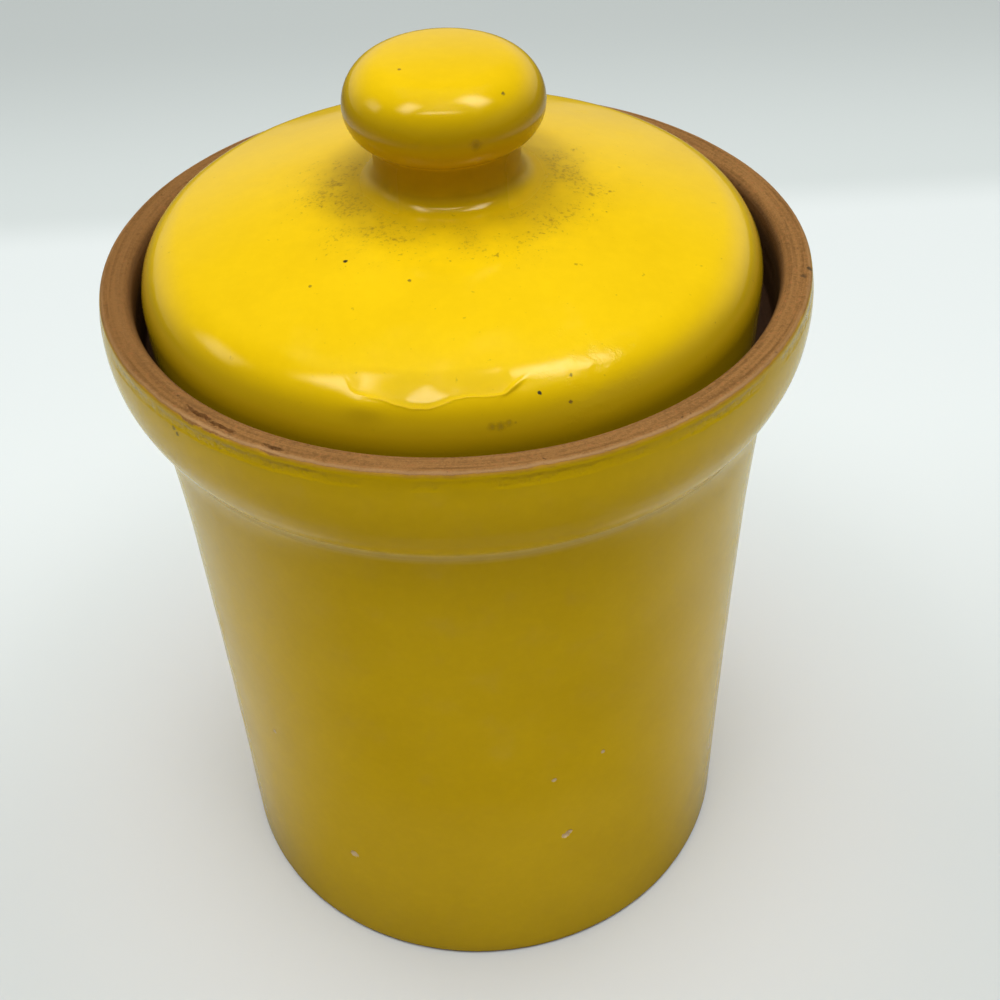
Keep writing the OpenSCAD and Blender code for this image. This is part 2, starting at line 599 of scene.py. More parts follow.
class WareMaterial:
    """A glazed clay surface, bare where its masks say."""

    def __init__(self, name: str, effects: Effects) -> None:
        """Starts the material with the glaze all over.

        Args:
            name: Name of the material.
            effects: The shared effects.
        """
        self.material = bpy.data.materials.new(name)
        self.material.use_nodes = True
        self.effects = effects
        self.graph = g = Graph(self.material.node_tree)
        self.shader = self.material.node_tree.nodes["Principled BSDF"]
        coords = g.node("ShaderNodeTexCoord").outputs["Object"]
        self.place = g.vector("MULTIPLY", coords, (1.0 / MM,) * 3)
        self.radius = g.vector("LENGTH", g.vector("MULTIPLY", self.place, (1.0, 1.0, 0.0)))
        parts = g.node("ShaderNodeSeparateXYZ")
        g.feed(parts.inputs["Vector"], self.place)
        self.x, self.y, self.z = (parts.outputs[axis] for axis in "XYZ")
        tone = g.use(effects.tone, Place=self.place)
        self.colour = tone.outputs["Colour"]
        self.gloss = tone.outputs["Gloss"]
        self.height = tone.outputs["Height"]

    def tint(self, mask: Socket, colour: object) -> None:
        """Lays a colour over what is there."""
        self.colour = self.graph.mix(mask, self.colour, colour)

    def dull(self, mask: Socket, roughness: float) -> None:
        """Takes the gloss off.

        Args:
            mask: Where to.
            roughness: Roughness there.
        """
        g = self.graph
        change = g.times(mask, g.minus(roughness, self.gloss))
        self.gloss = g.plus(self.gloss, change)

    def carve(self, mask: Socket, height: object) -> None:
        """Adds to the surface's height."""
        g = self.graph
        self.height = g.plus(self.height, g.times(mask, height))

    def spot(self, place: Vector, radius: float, blur: float = 0.35) -> Socket:
        """Mask of a ragged spot."""
        made = self.graph.use(self.effects.spot, Place=self.place, Centre=place, Radius=radius, Blur=blur)
        return made.outputs["Mask"]

    def mark(self, marks: Sequence[Mark]) -> None:
        """Puts small marks on the surface.

        Args:
            marks: The marks.
        """
        for one in marks:
            mask = self.graph.times(self.spot(one.place, one.radius, one.blur), one.strength)
            self.tint(mask, one.tone.value)
            self.dull(mask, 0.5)

    def chip(self, chips: Sequence[Chip]) -> None:
        """Shows the broken clay in each chip.

        Args:
            chips: The chips.
        """
        for one in chips:
            inward = Vector((one.place.x, one.place.y, 0.0)).normalized() * one.depth / 2.0
            mask = self.spot(one.place - inward, math.hypot(one.radius, one.depth / 2.0) * 1.1, 0.2)
            self.tint(mask, self.effects.clay.broken)
            self.dull(mask, self.effects.clay.roughness)

    def bare(self, mask: Socket) -> None:
        """Leaves the clay bare.

        Args:
            mask: Where to.
        """
        clay = self.graph.use(self.effects.body, Place=self.place, Radius=self.radius)
        self.tint(mask, clay.outputs["Colour"])
        self.dull(mask, self.effects.clay.roughness)
        self.carve(mask, clay.outputs["Height"])

    def finish(self) -> bpy.types.Material:
        """Joins the layers to the shader.

        Returns:
            The material.
        """
        g, glaze = self.graph, self.effects.glaze
        bump = g.node("ShaderNodeBump")
        bump.inputs["Strength"].default_value = 1.0
        bump.inputs["Distance"].default_value = MM
        g.feed(bump.inputs["Height"], self.height)
        g.feed(self.shader.inputs["Base Color"], self.colour)
        g.feed(self.shader.inputs["Roughness"], self.gloss)
        g.feed(self.shader.inputs["Normal"], bump.outputs["Normal"])
        self.shader.inputs["IOR"].default_value = glaze.ior
        self.shader.inputs["Specular Tint"].default_value = (*glaze.reflection, 1.0)
        return self.material


# Pieces

@dataclass
class TurnedPiece:
    """A piece turned about the canister's axis."""

    name: str
    body: str
    nodes: tuple[str, ...]
    steps: int = 336
    waves: tuple[Point, ...] = ()
    chips: tuple[Chip, ...] = ()
    marks: tuple[Mark, ...] = ()

    def draw(self, bm: bmesh.types.BMesh) -> None:
        """Draws the half-section."""
        raise NotImplementedError

    def weather(self, bm: bmesh.types.BMesh) -> None:
        """Gives the turned surface its unevenness and damage."""
        raise NotImplementedError

    def dress(self, effects: Effects) -> bpy.types.Material:
        """Makes the piece's material."""
        raise NotImplementedError

    def sink_chips(self, bm: bmesh.types.BMesh) -> None:
        """Cuts each chip into the surface.

        Args:
            bm: The piece's mesh.
        """
        for chip in self.chips:
            refine(bm, chip.near, chip.cuts)
            for v in bm.verts:
                co = v.co / MM
                if chip.near(co):
                    v.co -= v.normal * chip.sunk(co) * MM
            bm.normal_update()

    def build(self, effects: Effects) -> bpy.types.Object:
        """Builds, dresses and places the piece.

        Args:
            effects: The shared effects.

        Returns:
            The finished object.
        """
        bm = bmesh.new()
        self.draw(bm)
        turn_about_axis(bm, self.steps)
        self.weather(bm)
        mesh = bpy.data.meshes.new(self.name)
        bm.to_mesh(mesh)
        bm.free()
        mesh.shade_smooth()
        mesh.set_sharp_from_angle(angle=math.radians(50.0))
        mesh.materials.append(self.dress(effects))
        piece = bpy.data.objects.new(self.name, mesh)
        bpy.context.scene.collection.objects.link(piece)
        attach(piece, self.body)
        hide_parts(*self.nodes)
        log.info("%s: %d faces on body %s", self.name, len(mesh.polygons), self.body)
        return piece


@dataclass
class Jar(TurnedPiece):
    """The jar: straight wall, swollen collar and the gallery inside it. Sizes in millimetres."""

    body_r: float = 68.0
    height: float = 175.2
    wall: float = 7.0
    floor: float = 9.0
    floor_radius: float = 10.0
    foot_edge: float = 1.5
    foot_ring: float = 9.0
    foot_recess: float = 2.0
    collar_r: float = 75.8
    collar_arc: float = 25.0
    collar_rise: float = 7.0
    crease: float = 6.0
    rim_width: float = 5.7
    rim_outer: float = 1.0
    rim_inner: float = 2.6
    gallery_depth: float = 15.5
    ledge_radius: float = 1.2
    # How the outside departs from that form: by share of the way up to the crease, and by height above it
    waist: float = 0.5
    flare: float = 0.75
    flare_rise: Span = (0.75, 1.0)
    slack: float = 0.55
    slack_rise: Span = (6.0, 12.0)
    belly: float = 0.4
    belly_at: Point = (11.0, 5.0)
    pool: float = 0.9
    pool_at: Point = (1.5, 3.5)
    # Waves of a height and a rate: all over, along the broken edge and on the floor of the breaks
    waves: tuple[Point, ...] = ((0.12, 0.025), (0.04, 0.09))
    edge_waves: tuple[Point, ...] = ((0.55, 0.5), (0.35, 1.5))
    break_waves: tuple[Point, ...] = ((0.45, 1.1), (0.25, 2.6))
    # Where a turned groove runs on the rim, from its outer edge
    groove: float = -1.35
    breaks: tuple[RimBreak, ...] = ()
    clay_marks: tuple[Mark, ...] = ()

    def __post_init__(self) -> None:
        """Works out what the other sizes follow from."""
        self.bore_r = self.body_r - self.wall
        self.collar_c = (self.collar_r - self.collar_arc, self.height - self.collar_rise)
        self.rim_r = self.collar_c[0] + math.sqrt(self.collar_arc ** 2 - self.collar_rise ** 2)
        self.gallery_r = self.rim_r - self.rim_width
        self.ledge_z = self.height - self.gallery_depth
        crease_x, reach = self.body_r + self.crease, self.collar_arc + self.crease
        drop = math.sqrt(reach ** 2 - (crease_x - self.collar_c[0]) ** 2)
        self.crease_c = (crease_x, self.collar_c[1] - drop)

    def draw(self, bm: bmesh.types.BMesh) -> None:
        """Draws the half-section from the foot, up the outside and down the inside.

        Args:
            bm: Mesh that receives the edges.
        """
        centre, top = self.collar_c, self.height
        edge_z, reach = top - self.rim_outer, self.collar_arc - self.rim_outer
        edge_c = (centre[0] + math.sqrt(reach ** 2 - (edge_z - centre[1]) ** 2), edge_z)
        inner_x = self.gallery_r + self.rim_inner
        corner_x, lip_x = self.gallery_r - self.ledge_radius, self.bore_r + self.ledge_radius
        pen = Pen(bm, (0.0, self.foot_recess))
        pen.line((self.body_r - self.foot_ring, self.foot_recess), 6)
        pen.line((self.body_r - self.foot_ring, 0.0), 2)
        pen.line((self.body_r - self.foot_edge, 0.0), 5)
        pen.arc((self.body_r - self.foot_edge, self.foot_edge), (self.body_r, self.foot_edge), 6)
        pen.line((self.body_r, self.crease_c[1]), 62)
        pen.arc(self.crease_c, toward(centre, self.crease_c, self.collar_arc), 12)
        pen.arc(centre, toward(centre, edge_c, self.collar_arc), 40)
        pen.arc(edge_c, (edge_c[0], top), 8)
        pen.line((inner_x, top), 8)
        pen.arc((inner_x, top - self.rim_inner), (self.gallery_r, top - self.rim_inner), 12)
        pen.line((self.gallery_r, self.ledge_z + self.ledge_radius), 7)
        pen.arc((corner_x, self.ledge_z + self.ledge_radius), (corner_x, self.ledge_z), 5)
        pen.line((lip_x, self.ledge_z), 6)
        pen.arc((lip_x, self.ledge_z - self.ledge_radius), (self.bore_r, self.ledge_z - self.ledge_radius), 5)
        pen.line((self.bore_r, self.floor + self.floor_radius), 10)
        pen.arc(
            (self.bore_r - self.floor_radius, self.floor + self.floor_radius),
            (self.bore_r - self.floor_radius, self.floor), 8,
        )
        pen.line((0.0, self.floor), 6)

    def weather(self, bm: bmesh.types.BMesh) -> None:
        """Draws the wall in a little, makes it uneven, breaks the rim's edge and sinks the chips.

        Args:
            bm: The jar's mesh.
        """
        for v in bm.verts:
            co = v.co / MM
            radius = math.hypot(co.x, co.y)
            if co.z >= 1.0 and radius >= self.bore_r - 1.0:
                lean = self.lean(co.z) if radius > self.body_r - 1.0 else 0.0
                v.co += v.normal * (lean + ripple(co, self.waves)) * MM
        refine(bm, self.near_break, 3)
        for v in bm.verts:
            v.co.z -= self.broken_edge(v.co / MM) * MM
        bm.normal_update()
        self.sink_chips(bm)

    def lean(self, z: float) -> float:
        """How far the outside departs from its turned form at a height.

        Args:
            z: The height, in millimetres.

        Returns:
            Distance outwards, in millimetres.
        """
        up, above = min(z / self.crease_c[1], 1.0), z - self.crease_c[1]
        wall = self.flare * smooth(*self.flare_rise, up) - self.waist * 4.0 * up * (1.0 - up)
        collar = self.belly * bulge(above, *self.belly_at) - self.slack * smooth(*self.slack_rise, above)
        return wall + collar + self.pool * bulge(above, *self.pool_at)

    def near_break(self, co: Vector) -> bool:
        """Whether a place lies on the rim near one of its breaks.

        Args:
            co: Place in millimetres.

        Returns:
            True near a break.
        """
        if co.z < self.height - 4.0 or math.hypot(co.x, co.y) < self.gallery_r + 1.2:
            return False
        azimuth = math.degrees(math.atan2(co.y, co.x))
        return any(one.first - 1.5 < azimuth < one.last + 1.5 for one in self.breaks)

    def broken_edge(self, co: Vector) -> float:
        """How far the rim is broken down at a place.

        Args:
            co: Place on the rim, in millimetres.

        Returns:
            Depth of the break, in millimetres.
        """
        if not self.near_break(co):
            return 0.0
        radius, azimuth = math.hypot(co.x, co.y), math.degrees(math.atan2(co.y, co.x))
        flat = Vector((co.x, co.y, 0.0))
        jitter = ripple(flat, self.edge_waves)
        rough = 1.0 + ripple(flat, self.break_waves)
        at = azimuth + 1.2 * jitter
        depth = 0.0
        for one in self.breaks:
            ends = smooth(one.first, one.first + 1.2, at) * (1.0 - smooth(one.last - 1.2, one.last, at))
            wall = smooth(one.inner - 0.12, one.inner + 0.12, radius + jitter)
            floor = 1.0 - 0.75 * smooth(one.inner, self.rim_r - 0.2, radius + jitter)
            depth = max(depth, ends * wall * floor * one.depth * rough)
        return depth * smooth(self.height - 3.2, self.height - 1.6, co.z)

    def dress(self, effects: Effects) -> bpy.types.Material:
        """Glaze outside and inside, bare clay on the rim, the gallery and the foot.

        Args:
            effects: The shared effects.

        Returns:
            The jar's material.
        """
        ware = WareMaterial("jar_glaze", effects)
        g, clay = ware.graph, effects.clay
        # Distance over the rim's outer edge, from its flat face outwards and down
        out, down = g.minus(ware.radius, self.rim_r), g.minus(self.height, ware.z)
        wander = g.wander(ware.place, 0.22, 1.3, 4.0, 0.65)
        edge = g.plus(out, down, wander)
        self.dress_collar(ware, edge)
        ware.mark(self.marks)
        # Painted shade: a deeper tone on the top of the collar, toward the rim
        ware.tint(g.fade(edge, 0.5, 9.0, 0.7), effects.glaze.painted_shade)
        ware.tint(g.fade(edge, 0.3, 1.5, 0.8), effects.glaze.thinnest)
        ware.chip(self.chips)
        # Bare clay on the rim, in the gallery and under the foot, with painted shade down the gallery's wall
        rim = g.most(g.fade(edge, 0.15, 0.4), self.broken_mask(ware, edge))
        inside = g.fade(ware.radius, self.gallery_r + 2.0, self.gallery_r + 2.6)
        above = g.ease(ware.z, self.ledge_z - 1.6, self.ledge_z - 1.0)
        gallery = g.times(inside, above)
        foot = g.fade(g.plus(ware.z, wander), 0.6, 1.0)
        ware.bare(g.most(rim, gallery, foot))
        # Painted shade down the gallery's wall, darker further down
        inner = g.fade(ware.radius, self.gallery_r + 2.0, self.gallery_r + 3.0)
        shade = g.most(*(
            g.fade(ware.z, self.height - low, self.height - high, most)
            for low, high, most in ((6.0, 0.6, 0.90), (1.6, 0.1, 0.40))
        ))
        ware.tint(g.times(inner, above, shade), clay.pit_and_gallery_shade)
        # The bare rim is darker toward its left side
        ware.tint(g.times(rim, g.fade(ware.x, -72.0, -35.0, 0.45)), clay.dark)
        # A turned groove in patches round the rim, and a worn lip outside it
        top = g.ease(ware.z, self.height - 0.9, self.height - 0.4)
        patchy = g.ease(g.noise(ware.place, 0.12, 3.0, 0.6), 0.40, 0.62)
        straighter = g.plus(edge, g.times(wander, -0.7))
        away = g.apart(straighter, self.groove)
        groove = g.times(g.fade(away, 0.05, 0.28), top, patchy)
        ware.tint(g.times(groove, 0.6), clay.dark)
        ware.carve(groove, -0.12)
        lip = g.times(g.between(edge, (-1.0, -0.2), (0.05, 0.3)), top)
        ware.tint(g.times(lip, g.ease(ware.y, -62.0, -40.0, 0.75, 0.35)), clay.worn)
        ware.mark(self.clay_marks)
        return ware.finish()

    def dress_collar(self, ware: WareMaterial, edge: Socket) -> None:
        """Puts pores in the roll of glaze under the rim, dulls the crease and paints a pale highlight along
        it.

        Args:
            ware: The jar's material.
            edge: Distance over the rim's outer edge.
        """
        g = ware.graph
        roll = g.between(edge, (1.6, 2.6), (3.4, 4.6))
        some = g.ease(g.noise(ware.place, 0.06, 2.0), 0.32, 0.52)
        lumps = g.noise(ware.place, 0.75, 2.0, 0.6)
        pores = g.times(roll, some, g.ease(lumps, 0.54, 0.66))
        ware.tint(g.times(pores, 0.32), Tone.STAIN_AND_SHADE.value)
        ware.carve(g.times(roll, some), g.times(lumps, -0.30))
        outside = g.ease(ware.radius, self.body_r - 3.0, self.body_r - 1.0)
        depth = g.apart(ware.z, self.crease_c[1] + 3.0)
        ware.dull(g.times(g.fade(depth, 1.0, 2.5), outside), 0.32)
        # Painted highlight: a pale line along the crease
        ware.tint(g.times(g.fade(depth, 0.2, 3.2, 0.34), outside), Tone.PAINTED_HIGHLIGHT.value)

    def broken_mask(self, ware: WareMaterial, edge: Socket) -> Socket:
        """Mask of the clay laid bare where the rim's edge has flaked away.

        Args:
            ware: The jar's material.
            edge: Distance over the rim's outer edge.

        Returns:
            The mask.
        """
        g = ware.graph
        turn = g.times(g.math("ARCTAN2", ware.y, ware.x), math.degrees(1.0))
        reach: Socket | float = 0.0
        for one in self.breaks:
            ends = g.between(turn, (one.first - 1.0, one.first + 2.0), (one.last - 2.0, one.last + 1.0))
            reach = g.most(reach, ends)
        ragged = g.wander(ware.place, 0.8, 1.2, 3.0, 0.7)
        low = g.minus(g.plus(edge, ragged), g.times(reach, 0.8))
        return g.fade(low, -0.35, 0.15)


@dataclass
class Lid(TurnedPiece):
    """The lid and its knob under one coat of glaze. Sizes in millimetres."""

    radius: float = field(kw_only=True)
    seat_z: float = field(kw_only=True)
    side: float = 12.3
    shoulder: float = 13.2
    crown: float = 205.0
    thickness: float = 6.5
    foot_radius: float = 1.2
    neck_r: float = 15.1
    boss_fillet: float = 4.0
    boss_edge: float = 0.5
    neck_height: float = 4.7
    neck_fillet: float = 1.2
    overhang: float = 5.2
    knob_under: float = 7.02
    knob_upper: float = 9.5
    knob_top: float = 110.0
    off_centre: float = -0.8
    waves: tuple[Point, ...] = ((0.10, 0.03), (0.035, 0.085))
    # The pressed front, by azimuth and by angle up the shoulder in degrees, and its heights
    dent_span: Span = (-119.0, -75.0)
    dent_angles: Span = (18.0, 73.0)
    dent_start: Span = (-111.0, -106.0)
    dent_end: Span = (-83.0, -81.0)
    dent_lower: tuple[Point, ...] = (
        (-110.5, 62.0), (-109.3, 55.0), (-108.2, 48.5), (-107.0, 45.7), (-103.2, 44.5),
        (-100.8, 41.8), (-98.1, 38.7), (-95.3, 38.8), (-93.1, 41.4), (-91.1, 45.3),
        (-89.2, 47.1), (-82.7, 45.8), (-80.8, 50.0), (-79.6, 58.0),
    )
    dent_upper: float = 66.5
    dent_blend: float = 0.28
    dent_scoop: float = 0.18
    dent_bead: float = 0.06
    dent_swell: float = 0.40
    dent_ridge: float = 0.42
    bead_start: Span = (-107.5, -103.5)
    swell_at: Point = (-105.5, 39.0)
    swell_size: Point = (3.2, 9.0)
    ridge_at: Point = (-81.1, 51.0)
    ridge_size: Point = (0.8, 5.0)
    ridge_lean: float = 0.31
    blister: Vector = field(default_factory=lambda: on_wall(61.5, -68.0, 181.5))

    def __post_init__(self) -> None:
        """Works out the centres of the lid's arcs."""
        self.shoulder_c = (self.radius - self.shoulder, self.seat_z + self.side)
        reach = self.crown - self.shoulder
        self.crown_c = (0.0, self.shoulder_c[1] - math.sqrt(reach ** 2 - self.shoulder_c[0] ** 2))
        boss_x, reach = self.neck_r + self.boss_fillet, self.crown + self.boss_fillet
        self.boss_c = (boss_x, self.crown_c[1] + math.sqrt(reach ** 2 - boss_x ** 2))
        self.knob_r = self.neck_r + self.overhang
        self.knob_z = self.boss_c[1] + self.boss_edge + self.neck_height + self.knob_under

    def draw(self, bm: bmesh.types.BMesh) -> None:
        """Draws the half-section from the hollow's top, round the foot and over the crown to the knob.

        Args:
            bm: Mesh that receives the edges.
        """
        inner = self.crown - self.thickness
        inner_r = self.radius - self.thickness
        foot_z = self.seat_z + self.foot_radius
        pen = Pen(bm, (0.0, self.crown_c[1] + inner))
        pen.arc(self.crown_c, self.shoulder_c, 14)
        pen.arc(self.shoulder_c, (inner_r, self.shoulder_c[1]), 8)
        pen.line((inner_r, foot_z), 5)
        pen.arc((inner_r + self.foot_radius, foot_z), (inner_r + self.foot_radius, self.seat_z), 4)
        pen.line((self.radius - self.foot_radius, self.seat_z), 4)
        pen.arc((self.radius - self.foot_radius, foot_z), (self.radius, foot_z), 4)
        pen.line((self.radius, self.shoulder_c[1]), 10)
        pen.arc(self.shoulder_c, toward(self.crown_c, self.shoulder_c, self.crown), 54)
        pen.arc(self.crown_c, self.boss_c, 44)
        pen.arc(self.boss_c, (self.neck_r, self.boss_c[1]), 14)
        self.draw_knob(pen)

    def draw_knob(self, pen: Pen) -> None:
        """Draws the neck and the knob.

        Args:
            pen: Pen that stands at the foot of the neck.
        """
        lower_c = (self.knob_r - self.knob_under, self.knob_z)
        upper_c = (self.knob_r - self.knob_upper, self.knob_z)
        fillet_x, reach = self.neck_r + self.neck_fillet, self.knob_under + self.neck_fillet
        fillet_c = (fillet_x, self.knob_z - math.sqrt(reach ** 2 - (fillet_x - lower_c[0]) ** 2))
        reach = self.knob_top - self.knob_upper
        top_c = (0.0, self.knob_z - math.sqrt(reach ** 2 - upper_c[0] ** 2))
        pen.line((self.neck_r, fillet_c[1]), 6)
        pen.arc(fillet_c, lower_c, 5)
        pen.arc(lower_c, (self.knob_r, self.knob_z), 16)
        pen.arc(upper_c, toward(top_c, upper_c, self.knob_top), 26)
        pen.arc(top_c, (0.0, top_c[1] + self.knob_top), 10)

    def weather(self, bm: bmesh.types.BMesh) -> None:
        """Makes the crown a little uneven, presses the front of the shoulder and sets the lid off centre.

        Args:
            bm: The lid's mesh.
        """
        refine(bm, self.near_dent, 3)
        for v in bm.verts:
            co = v.co / MM
            if self.near_dent(co):
                flow, rise = self.on_shoulder(co)
                v.co += flow * (self.shoulder - rise) * MM
        bm.normal_update()
        for v in bm.verts:
            co = v.co / MM
            if co.z > self.seat_z + 2.0:
                v.co += v.normal * ripple(co, self.waves) * MM
        for v in bm.verts:
            v.co += self.dent(v.co / MM) * MM
        bmesh.ops.translate(bm, verts=bm.verts[:], vec=(self.off_centre * MM, 0.0, 0.0))
        bm.normal_update()

    def on_shoulder(self, co: Vector) -> tuple[Vector, float]:
        """Which way the shoulder faces at a place, and how far out the place lies.

        Args:
            co: Place on the lid, in millimetres.

        Returns:
            The direction, and the distance from the circle that the shoulder is rounded about.
        """
        radius = math.hypot(co.x, co.y)
        out, up = radius - self.shoulder_c[0], co.z - self.shoulder_c[1]
        rise = math.hypot(out, up)
        return Vector((co.x / radius * out, co.y / radius * out, up)) / rise, rise

    def near_dent(self, co: Vector) -> bool:
        """Whether a place lies on the outside of the shoulder, near the pressed front.

        Args:
            co: Place in millimetres.

        Returns:
            True near the dent.
        """
        if not self.dent_span[0] < math.degrees(math.atan2(co.y, co.x)) < self.dent_span[1]:
            return False
        flow, rise = self.on_shoulder(co)
        angle = math.degrees(math.asin(flow.z))
        return abs(rise - self.shoulder) < 1.0 and self.dent_angles[0] < angle < self.dent_angles[1]

    def dent(self, co: Vector) -> Vector:
        """How the pressed front of the shoulder moves a place.

        Args:
            co: Place on the lid, in millimetres.

        Returns:
            The move, in millimetres.
        """
        if not self.near_dent(co):
            return Vector()
        flow, _ = self.on_shoulder(co)
        azimuth, angle = math.degrees(math.atan2(co.y, co.x)), math.degrees(math.asin(flow.z))
        low = along(self.dent_lower, azimuth) + 0.9 * noise.noise(co * 0.35)
        ends = smooth(*self.dent_start, azimuth) * (1.0 - smooth(*self.dent_end, azimuth))
        half = (self.dent_upper + 2.5 * noise.noise(co * 0.12) - low) / 2.0
        share = (angle - low) / (2.0 * half)
        turn = math.radians(angle - low - half)
        chord = self.shoulder * (1.0 - math.cos(math.radians(half)) / math.cos(turn))
        bead = self.dent_bead * smooth(*self.bead_start, azimuth)
        move = bead * bulge(angle, low, 1.0) - max(chord, 0.0)
        if share > 0.5:
            move -= self.dent_blend / 4.0 * max(1.0 - abs(chord) / self.dent_blend, 0.0) ** 2
        if 0.0 < share < 1.0:
            lip = 1.0 - bulge(share, 0.0, 0.10)
            move -= self.dent_scoop * lip * (1.0 - share) ** 2
        ridge_azimuth = self.ridge_at[0] + self.ridge_lean * (angle - self.ridge_at[1])
        ridge = bulge(azimuth, ridge_azimuth, self.ridge_size[0])
        ridge *= bulge(angle, self.ridge_at[1], self.ridge_size[1])
        swell = bulge(azimuth, self.swell_at[0], self.swell_size[0])
        swell *= bulge(angle, self.swell_at[1], self.swell_size[1])
        return flow * (ends * move + self.dent_ridge * ridge + self.dent_swell * swell)

    def dress(self, effects: Effects) -> bpy.types.Material:
        """Glaze all over but for the foot, with dirt caught round the neck and painted shade on the sides of
        the lid and knob and round the neck.

        Args:
            effects: The shared effects.

        Returns:
            The lid's material.
        """
        ware = WareMaterial("lid_glaze", effects)
        g = ware.graph
        foot, widest = self.boss_c[1] + self.boss_edge, self.knob_z
        # Dirt in a ring round the neck, mostly at its sides
        crown = g.between(ware.z, (self.seat_z + 14.0, self.seat_z + 18.0), (foot, foot + 2.0))
        ring = g.between(ware.radius, (17.0, 21.0), (25.0, 42.0))
        beside = g.math("ABSOLUTE", ware.x)
        sides = g.times(g.ease(beside, 6.0, 22.0, 0.75, 1.0), g.ease(ware.y, 4.0, 18.0, 1.0, 0.3))
        dust = g.use(effects.dust, Place=ware.place, Amount=g.times(ring, sides, crown))
        # Painted shade: a deeper tone on the lid's side and on the side of the knob
        shoulder_z = self.shoulder_c[1]
        side = g.fade(ware.z, shoulder_z + 6.0, shoulder_z + 11.0)
        knob_shade = g.between(ware.z, (foot + 2.0, foot + 8.0), (widest + 2.0, widest + 7.5))
        ware.tint(g.times(g.most(side, knob_shade), 0.85), effects.glaze.painted_shade)
        # Then a faint ring that is partly dirt and partly painted shadow of the knob, the dirt over it,
        # flecks, a browner neck that is partly stain and partly painted shade, and a dull seam
        dirt_and_shadow = g.ease(g.noise(ware.place, 0.06, 3.0, 0.6), 0.3, 0.6, 0.10, 0.26)
        band = g.between(ware.radius, (16.0, 21.0), (24.0, 32.0))
        ware.tint(g.times(dirt_and_shadow, crown, band), Tone.DUST_AND_SHADOW.value)
        ware.tint(dust.outputs["Mask"], Tone.DUST_AND_SHADOW.value)
        ware.dull(dust.outputs["Mask"], 0.3)
        fleck = g.ease(g.noise(ware.place, 0.55, 2.0, 0.6), 0.70, 0.78)
        ware.tint(g.times(fleck, crown, 0.30), Tone.STAIN_AND_SHADE.value)
        # Painted shade, partly stain: a browner tone on the neck under the knob
        pool = g.between(ware.z, (foot - 4.0, foot), (foot + 3.0, widest))
        ware.tint(g.times(pool, 0.26), Tone.STAIN_AND_SHADE.value)
        close = g.fade(ware.radius, 18.0, 22.0)
        seam = g.times(close, g.fade(ware.z, foot + 3.0, foot + 7.0))
        ware.dull(g.times(seam, g.ease(beside, 7.0, 12.0)), 0.3)
        ware.mark(self.marks)
        ware.carve(ware.spot(self.blister, 9.0, 1.0), g.wander(ware.place, 0.18, 0.40))
        wander = g.wander(ware.place, 0.25, 1.0, 3.0, 0.6)
        ware.bare(g.fade(g.plus(ware.z, wander), self.seat_z + 0.9, self.seat_z + 1.3))
        return ware.finish()


# Gap all round between the lid and the gallery, in millimetres
LID_GAP = 3.0

RIM_BREAKS = (
    RimBreak(-135.0, -129.0, 72.5, 1.0),
    RimBreak(-130.0, -124.0, 72.8, 0.9),
    RimBreak(-120.0, -115.8, 73.3, 0.6),
)

JAR_CHIPS = (
    Chip(on_wall(67.6, -120.3, 36.2), 0.95, 0.80),
    Chip(on_wall(67.5, -74.0, 48.6), 0.80, 0.75),
    Chip(on_wall(67.5, -73.2, 49.7), 0.70, 0.70),
    Chip(on_wall(67.5, -76.5, 72.4), 0.50, 0.40),
    Chip(on_wall(67.5, -66.1, 76.9), 0.45, 0.40),
    Chip(on_wall(67.5, -138.4, 69.9), 0.45, 0.30),
)

JAR_MARKS = (
    Mark(on_wall(75.7, -135.4, 171.5), 0.50, Tone.SOOT, 0.7),
    Mark(on_wall(75.7, -134.7, 170.6), 0.50, Tone.SOOT, 0.7),
)

CLAY_MARKS = (
    Mark(on_wall(74.4, -12.7, 175.1), 0.70, Tone.SOOT, 0.8),
    Mark(on_wall(73.3, -15.2, 175.2), 0.80, Tone.SOOT, 0.6, 0.7),
)

LID_MARKS = (
    Mark(on_wall(35.2, -127.1, 189.6), 0.45, Tone.SOOT),
    Mark(on_wall(43.6, -129.6, 188.0), 0.38, Tone.SOOT, 0.6),
    Mark(on_wall(36.6, -104.3, 189.3), 0.40, Tone.SOOT, 0.7),
    Mark(on_wall(17.1, -51.8, 215.1), 0.50, Tone.SOOT, 0.8),
    Mark(on_wall(11.0, -143.2, 217.5), 0.38, Tone.STAIN_AND_SHADE, 0.8),
    Mark(on_wall(20.3, -76.3, 207.9), 1.30, Tone.STAIN_AND_SHADE, 0.50, 1.0),
    Mark(on_wall(62.5, -77.7, 181.1), 0.42, Tone.SOOT),
    Mark(on_wall(61.1, -71.7, 182.4), 0.40, Tone.SOOT, 0.7),
    Mark(on_wall(64.2, -72.9, 178.9), 0.45, Tone.STAIN_AND_SHADE),
    Mark(on_wall(65.1, -86.0, 177.1), 0.90, Tone.STAIN_AND_SHADE, 0.50, 0.9),
    Mark(on_wall(65.1, -84.6, 177.0), 1.00, Tone.STAIN_AND_SHADE, 0.55, 0.9),
    Mark(on_wall(65.0, -83.3, 177.4), 0.80, Tone.STAIN_AND_SHADE, 0.45, 0.9),
)


# Stage

